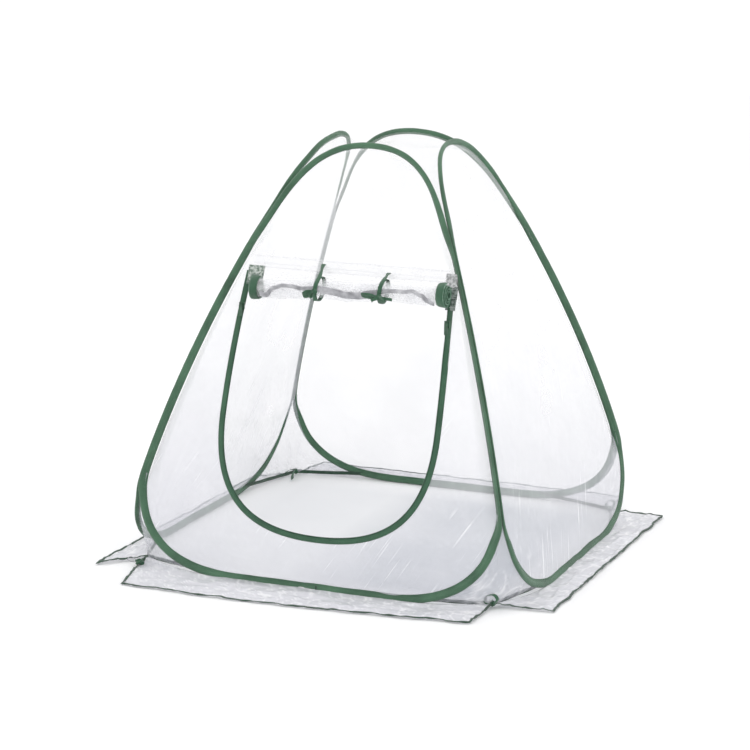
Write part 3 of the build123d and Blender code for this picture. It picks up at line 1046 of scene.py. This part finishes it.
# Each corner's hems meet on the ground at its tip, and its gusset joins two bodies.
corners = {
    "front_right": ((0.300, -0.306), "front_panel", "right_panel"),
    "back_right": ((0.308, 0.316), "right_panel", "back_panel"),
    "back_left": ((-0.312, 0.322), "left_panel", "back_panel"),
    "front_left": ((-0.318, -0.292), "front_panel", "left_panel"),
}
tips = [Vector((*tip, 0)) for tip, _, _ in corners.values()]
skirt_cut = (0.64, 0.15)
front_skirt_bow = 0.016

# ---- ground skirts ----
# Outer corners in each skirt's own front-facing frame: left end, right end as (x, y).
skirt_corners = {
    "front": [(-0.291, -0.438), (0.296, -0.403)],
    "right": [(-0.292, -0.397), (0.322, -0.404)],
    "back": [(-0.300, -0.420), (0.292, -0.418)],
    "left": [(-0.262, -0.374), (0.358, -0.381)],
}
for k, side in enumerate(sides):
    (lx, ly), (rx, ry) = skirt_corners[side]
    turn = quarter(k)
    tip_left, tip_right = turn.inverted() @ tips[k - 1], turn.inverted() @ tips[k]
    left_end = [tip_left, (-0.245, -0.344, 0), (-0.190, -0.3475, 0)]
    right_end = [(0.190, -0.3475, 0), (0.245, -0.344, 0), tip_right]
    root = [bezier(left_end, i / 20) for i in range(20)]
    root += [bezier(right_end, i / 20) for i in range(21)]
    root = even(root, 300)

    def skirt_point(s, r):
        """s runs along the skirt, r from the hoop out to the binding."""
        inner = root[min(round(s * 300), 300)]
        edge_y = ly + (ry - ly) * s
        if side == "front":
            edge_y -= front_skirt_bow * sin(pi * s**0.8)
        edge_y += 0.0035 * wobble((s, k, 0), 0.06, 31) + 0.0015 * wobble((s, k, 0), 0.015, 32)
        p = inner.lerp(Vector((lx + (rx - lx) * s, edge_y, 0)), r)
        slack = 0.5 + 0.5 * wobble(p, 0.05, 33 + k) + 0.35 * wobble(p, 0.021, 34 + k)
        folds = ridge((p.x * 0.35, p.y * 1.3, 0), 0.030, 38 + k)
        fine = 0.0042 * max(slack, 0) + 0.0022 * folds + 0.0006 * wobble(p, 0.008, 39)
        calm = smooth(r / 0.15) * (1 - 0.5 * smooth((r - 0.85) / 0.15))
        lift = 0.0050 * (1 - smooth(r / 0.22)) + fine * calm
        p.z = ground + 0.0010 + max(lift, 0)
        return p

    def skirt_marks(p):
        lines = ridge(p, 0.022, 35) * 0.8 + ridge((p.x * 0.6, p.y * 1.4, 0), 0.012, 36) * 0.5
        return 0.0, min(lines, 1.0)

    skirt = grid(f"{side}_skirt", lattice(20, 150, skirt_point), False, skirt_marks)
    finish_piece(skirt, skirt_clear, "", [f"{side}_skirt_film"], k)
    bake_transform(skirt)
    declare(skirt, skirt_cut)
    edge_path = [skirt_point(0, j / 24) for j in range(24)]
    edge_path += [skirt_point(i / 220, 1) for i in range(221)]
    edge_path += [skirt_point(1, 1 - j / 24) for j in range(1, 25)]
    edge_path = [p + up * 0.0006 for p in edge_path]
    edge_across = []
    for p, ahead in zip(edge_path, headings(edge_path, reach=3)):
        lean = 0.9 * wobble(p, 0.02, 37 + k)
        edge_across.append(ahead.cross(up).normalized() + up * lean)
    rim = swept(f"{side}_skirt_edge", edge_path, edge_across, tape(0.0044, 0.0012, 0.0002))
    finish_piece(rim, binding_cloth, "", [f"{side}_skirt_binding"], k)
    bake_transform(rim)

# ---- corner gussets, hems and peg loops ----
gusset_steps = 40
rim_half = outline_away([p for p in outline if p.x > 0.165 and p.y < seam_low], -0.002)
rim_half = even(rim_half, gusset_steps)
gusset_height = 0.17


def mirrored(p):
    """Mirror a front-face point in the upright plane through the front right corner."""
    return Vector((-p.y, -p.x, p.z))


seam_foot = Vector((corner_half(seam_low), -corner_half(seam_low), seam_low))
for k, (corner, (_, first_body, second_body)) in enumerate(corners.items()):
    joined = corner != "back_right"
    turn = quarter(k)
    tip = turn.inverted() @ (tips[k] + up * 0.004)
    rows = []
    for i, q in enumerate(rim_half):
        t = i / gusset_steps
        first = on_face(q.x, q.y, -0.0005)
        last = mirrored(first)
        top = seam_foot + Vector((-0.002, 0.002, 0))
        rise = tip.lerp(top, smooth(t) * 0.35 + 0.65 * t)
        rise.z = first.z * (1 - (1 - t) ** 2) + tip.z * (1 - t) ** 2
        mid = rise * 2 - (first + last) / 2
        row = []
        for j in range(37):
            s = j / 36
            soft = bezier([first, mid, last], s)
            sharp = first.lerp(rise, 2 * s) if s < 0.5 else rise.lerp(last, 2 * s - 1)
            row.append(sharp.lerp(soft, 0.55 * t + 0.1))
        rows.append(row)

    def gusset_crumple(p, seed=40 + k):
        lines = ridge((p.x * 0.8, p.y * 0.8, p.z * 0.5), 0.030, seed)
        low = 1 - smooth((p.z - 0.01) / 0.09)
        mark = 0.6 * lines**2 * (0.3 + low) + 0.4 * low * ridge(p, 0.014, seed + 1)
        return 0.0016 * wobble(p, 0.035, seed) + 0.0012 * low * lines, min(mark, 1.0)

    hem_path = even([p + up * 0.001 for p in rows[0]], 90)
    hem_path = [p + up * (0.0012 + 0.0008 * wobble(p, 0.02, 43)) for p in hem_path]
    parts = [("", first_body, rows, hem_path)]
    if not joined:
        parts = [
            ("_a", first_body, [row[:19] for row in rows], hem_path[:46]),
            ("_b", second_body, [row[18:] for row in rows], hem_path[45:]),
        ]
    for mark, body, part_rows, part_hem in parts:
        gusset = grid(f"{corner}_gusset{mark}", part_rows, False, gusset_crumple, 2)
        finish_piece(gusset, gusset_clear, "", turn=k)
        hem_across = []
        for p in part_hem:
            sideways = Vector((wobble(p, 0.03, 44), wobble(p, 0.03, 45), 0))
            hem_across.append(up + 0.35 * sideways)
        hem = swept(f"{corner}_hem{mark}", part_hem, hem_across, tape(0.0062, 0.0013, 0.0002))
        finish_piece(hem, binding_cloth, "", turn=k)
        ends = [tuple(turn @ (seam_foot + Vector((d, d, 0)))) for d in (-0.005, 0.005)]
        if corner.endswith("left"):
            ends.reverse()
        for piece in (gusset, hem):
            if joined:
                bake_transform(piece)
            else:
                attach(piece, body)
        if body == first_body:
            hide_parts(f"{corner}_gusset_film")
            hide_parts(f"{corner}_gusset_hem")
        gusset_width = 0.26 if joined else 0.13
        declare(gusset, (gusset_width, gusset_height))

# Stops of the peg loops, a tail and a cord, in millimetres from 3 mm above each corner's tip.
peg_loops = {
    "front_right": [
        (0, -2, 1), (-9, -6, 7), (-7, -7, 17), (5, -8, 21), (12, -9, 15), (7, -9, 6), (1, -4, 2),
    ],
    "front_left": [(4, 0, 3), (1, -16, 4), (4, -30, 5), (6, -42, 4)],
    "back_left": [(0, -2, 8), (-6, -16, 9), (-12, -32, 4), (-15, -46, 2)],
    "back_right": [(0, 0, 1), (7, 3, 7), (5, 8, 15), (-4, 10, 17), (-9, 5, 9), (-3, 1, 2)],
}
tail_stops = [(0, -2, 8), (5, -16, 10), (8, -34, 5), (14, -48, 2)]
cord_stops = [(2, -42, 5), (-7, -36, 8), (-14, -38, 10), (-13, -48, 8), (-4, -50, 6), (4, -44, 5)]
peg_ribbon_width = 0.0062


def by_tip(corner, stops):
    """Points in metres from stops beside a corner's tip."""
    base = tips[list(corners).index(corner)] + up * 0.003
    return [base + Vector(stop) / 1000 for stop in stops]


for corner, stops in peg_loops.items():
    body = corners[corner][1]
    knot_place, knot_size = (0, 0, 4), (0.0052, 0.0052, 0.0048)
    if corner == "front_left":
        knot_place, knot_size = stops[-1], (0.0075, 0.0060, 0.0052)
    points = by_tip(corner, stops)
    ribbon(f"{corner}_loop", points, (0.5, 0.8, 0.2), peg_ribbon_width, body, [f"{corner}_peg_loop"], 48)
    knot(f"{corner}_knot", by_tip(corner, [knot_place])[0], knot_size, body)
tail_points = by_tip("back_left", tail_stops)
ribbon("back_left_tail", tail_points, (0.6, 0.3, 0.5), peg_ribbon_width, "left_panel")
cord_points = by_tip("front_left", cord_stops)
cord = ribbon("front_left_cord", cord_points, (0, 0, 1), 0.0012, "front_panel", thick=0.0011)
cord.data.materials.clear()
cord.data.materials.append(gray_strip)

# ---- top cap ----
arc_steps = 60
arc = even([p for p in outline if p.y >= seam_high - 0.004], arc_steps)
top_share = 0.27
kink = arc[int(arc_steps * (1 - top_share))]
cap_centre = Vector((0, 0, 0.684))
cap_cut = (0.40, 0.08)


def between_hoops(p):
    """Point between two neighbouring hoops beside the arc point p."""
    half = (p.x + corner_half(p.y)) / 2
    return Vector((half, -half, p.y - 0.004))


def cap_inner(p, s):
    """Where a cap sector meets its neighbour, for the arc point p at distance s from the top."""
    return between_hoops(p) if s >= top_share else cap_centre.lerp(between_hoops(kink), s / top_share)


for k, side in enumerate(sides):
    columns = []
    for i in range(-arc_steps, arc_steps + 1):
        s = abs(i) / arc_steps
        p = arc[arc_steps - abs(i)]
        edge = on_face(p.x, p.y, -0.001)
        inner = cap_inner(p, s)
        column = []
        for j in range(15):
            q = edge.lerp(inner, j / 14)
            q.z -= 0.006 * sin(pi * j / 14) * (1 - s)
            column.append(Vector((q.x if i >= 0 else -q.x, q.y, q.z)))
        columns.append(column)

    def cap_crumple(p, seed=50 + k):
        lines = ridge((p.x, p.y * 0.6, p.z), 0.045, seed)
        return 0.0012 * wobble(p, 0.05, seed) * smooth(abs(p.x) / 0.02), 0.35 * lines**2

    cap = grid(f"{side}_cap", columns, False, cap_crumple, 2)
    finish_piece(cap, cap_clear, f"{side}_panel", ["top_cap_film"] if k == 0 else (), k)
    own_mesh(cap)
    declare(cap, cap_cut)

# ---- CAD nodes that stay ----
finishes = {"hoop_ferrule": crimp, "zip_slider": enamel, "zip_pull": enamel}
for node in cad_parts:
    obj = bpy.data.objects.get(node)
    if not obj or obj.hide_render:
        continue
    for part, made in finishes.items():
        if part in node:
            obj.data.materials.clear()
            obj.data.materials.append(made)
